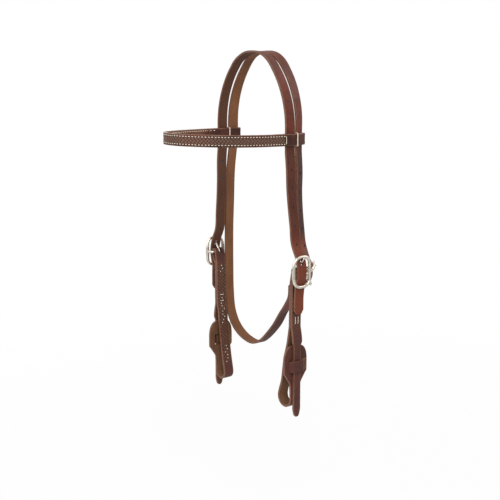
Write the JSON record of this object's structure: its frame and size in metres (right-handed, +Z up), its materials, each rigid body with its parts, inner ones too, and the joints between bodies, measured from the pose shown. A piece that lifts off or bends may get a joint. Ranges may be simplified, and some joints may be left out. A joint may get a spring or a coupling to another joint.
{
  "type": "western headstall",
  "caption": "Leather headstall that hangs a bit from a horse's head: split crown with throat strap, tooled browband, buckled cheeks and folded quick-change bit ends",
  "frame": {"origin": "middle of the crown's underside where it lies over the poll", "axes": "+Z up, the horse faces -Y, its near (left) side is +X"},
  "size_m": [0.2082, 0.1986, 0.503],
  "materials": {
    "crown_leather": "oiled chestnut strap leather, flesh side lighter",
    "bit_leather": "oiled chestnut strap leather",
    "tooled_leather": "dark brown leather, basket stamped, cream stitched",
    "lining_leather": "smooth lining leather",
    "buckle_steel": "polished stainless steel",
    "tongue_steel": "polished stainless steel wire",
    "waxed_thread": "cream waxed linen thread",
    "lace": "pale rawhide lace"
  },
  "bodies": {
    "headpiece": {"crown": "crown_leather", "near_cheek_buckle": "buckle_steel", "off_cheek_buckle": "buckle_steel", "throat_buckle": "buckle_steel", "throat_chape_thread": "waxed_thread"},
    "near_bit": {"near_bit_end": "bit_leather", "near_bit_thread": "waxed_thread"},
    "off_bit": {"off_bit_end": "bit_leather", "off_bit_thread": "waxed_thread"},
    "near_tongue": {"near_cheek_tongue": "tongue_steel"},
    "off_tongue": {"off_cheek_tongue": "tongue_steel"},
    "throat_tongue_wire": {"throat_tongue": "tongue_steel"},
    "brow": {"browband": "tooled_leather", "browband_lining": "lining_leather", "near_loop_thread": "waxed_thread", "off_loop_thread": "waxed_thread", "near_loop_tie": "lace", "off_loop_tie": "lace"}
  },
  "joints": [
    {"name": "near_bit_swing", "type": "hinge", "parent": "headpiece", "child": "near_bit", "pos_m": [0.091, -0.0065, -0.2915], "axis": [0, 1, 0], "range_deg": [0, 30]},
    {"name": "off_bit_swing", "type": "hinge", "parent": "headpiece", "child": "off_bit", "pos_m": [-0.091, -0.0065, -0.2915], "axis": [0, -1, 0], "range_deg": [0, 4]},
    {"name": "near_tongue_hinge", "type": "hinge", "parent": "headpiece", "child": "near_tongue", "pos_m": [0.091, -0.0065, -0.2915], "axis": [0, 1, 0], "range_deg": [0, 4]},
    {"name": "off_tongue_hinge", "type": "hinge", "parent": "headpiece", "child": "off_tongue", "pos_m": [-0.091, -0.0065, -0.2915], "axis": [0, -1, 0], "range_deg": [0, 4]},
    {"name": "throat_tongue_hinge", "type": "hinge", "parent": "headpiece", "child": "throat_tongue_wire", "pos_m": [0.076, 0.0317, -0.3005], "axis": [-0.7329, 0.6368, 0.2396], "range_deg": [0, 4]},
    {"name": "browband_slide", "type": "slide", "parent": "headpiece", "child": "brow", "axis": [0, 0, 1], "range_m": [-0.006, 0.006]}
  ]
}
